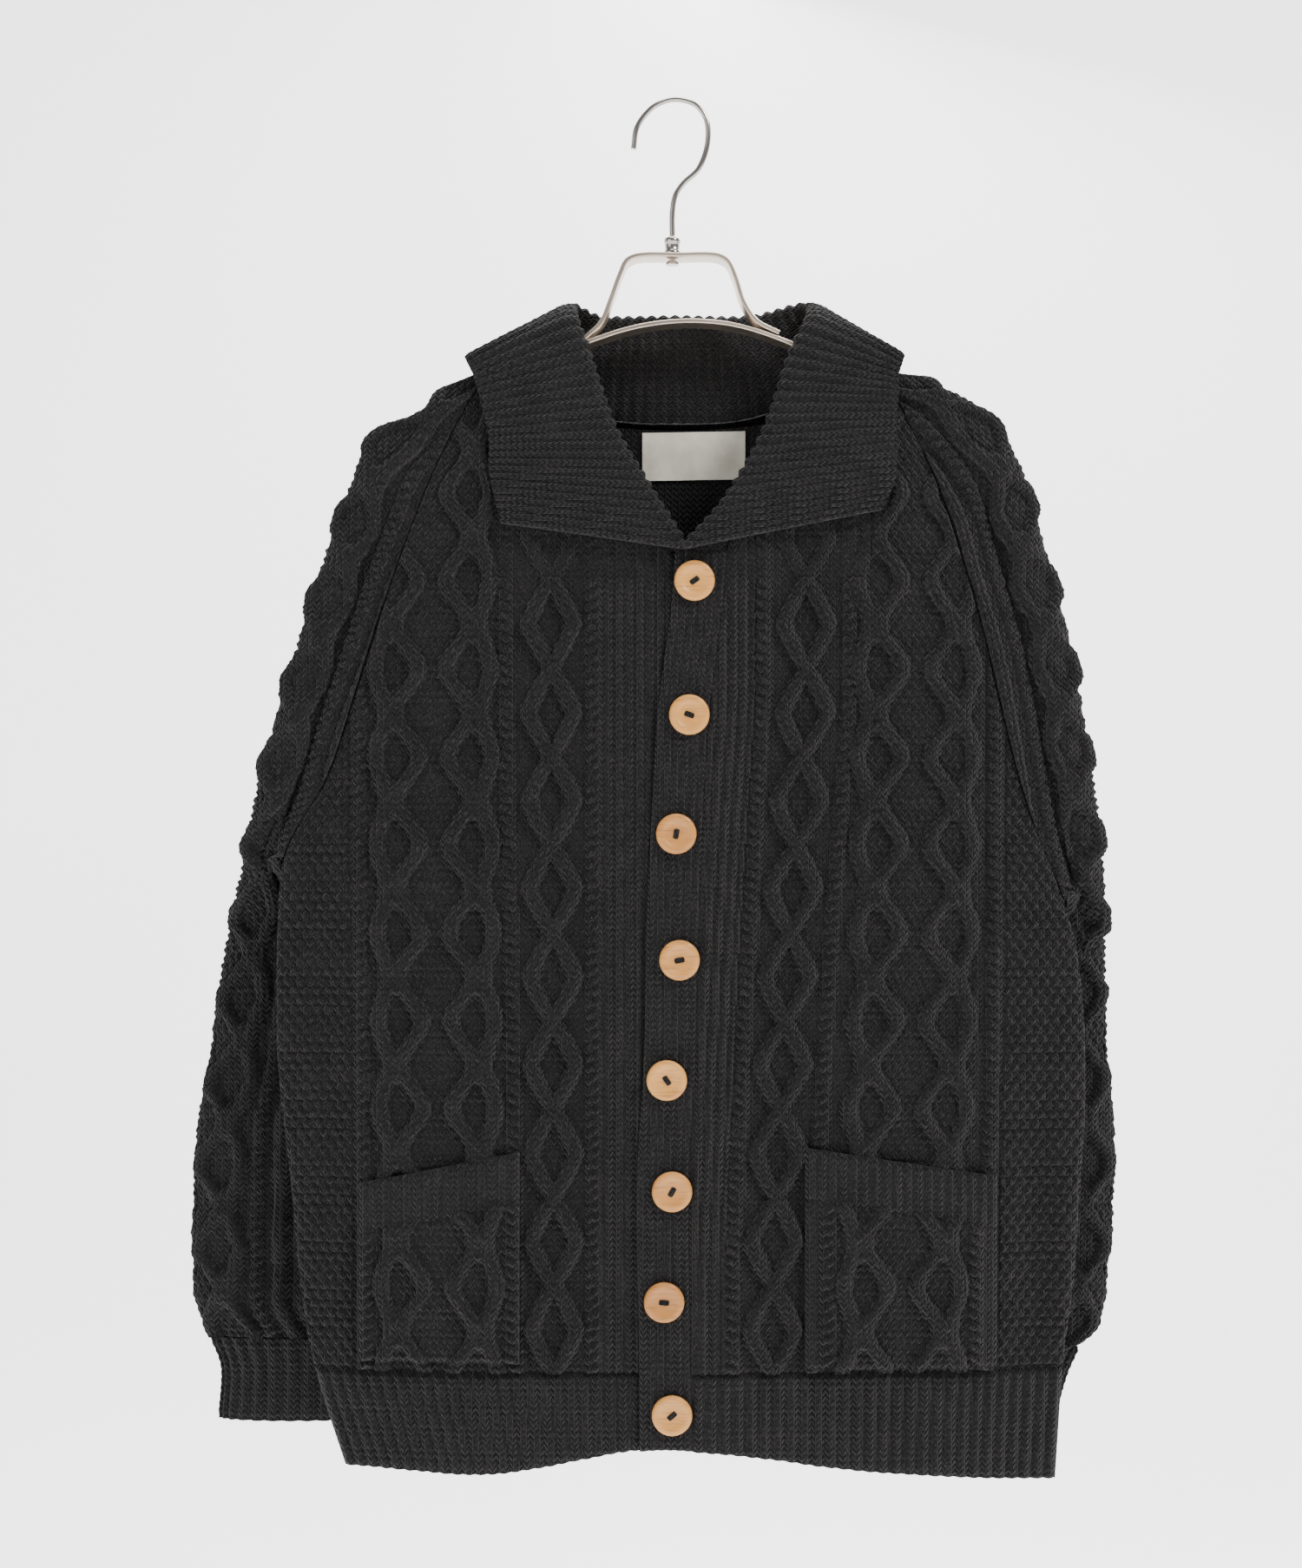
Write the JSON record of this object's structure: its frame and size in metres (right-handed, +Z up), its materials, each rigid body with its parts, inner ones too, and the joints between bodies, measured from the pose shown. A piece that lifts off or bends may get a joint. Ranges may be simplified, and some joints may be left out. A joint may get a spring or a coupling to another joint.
{
  "type": "shawl collar cardigan on a hanger",
  "caption": "Heavy cable knit cardigan with a ribbed shawl collar, raglan sleeves, patch pockets and wooden buttons, hanging on a metal hanger",
  "frame": {"origin": "the inside top of the hanger's hook, where a rail touches it", "axes": "+Z up, the front faces -Y, and +X is the wearer's left"},
  "size_m": [0.647, 0.1029, 0.9389],
  "materials": {
    "knit": "charcoal melange wool, cabled, matt and slightly hairy",
    "label": "woven tape, blank",
    "button": "pale wood, satin varnish",
    "strip": "satin, warm champagne tint",
    "wire": "polished, slightly dark"
  },
  "bodies": {
    "root": {"back": "knit", "front_right": "knit", "front_left": "knit", "hem_right": "knit", "hem_left": "knit", "hem_back": "knit", "sleeve_right": "knit", "sleeve_left": "knit", "cuff_right": "knit", "cuff_left": "knit", "band_right": "knit", "band_left": "knit", "pocket_right": "knit", "pocket_left": "knit", "collar": "knit", "label": "label", "button_1": "button", "button_2": "button", "button_3": "button", "button_4": "button", "button_5": "button", "button_6": "button", "button_7": "button", "button_8": "button", "hanger_bar": "strip", "hanger_handle": "strip", "hanger_hook": "wire", "hanger_ferrule": "wire"}
  },
  "joints": []
}
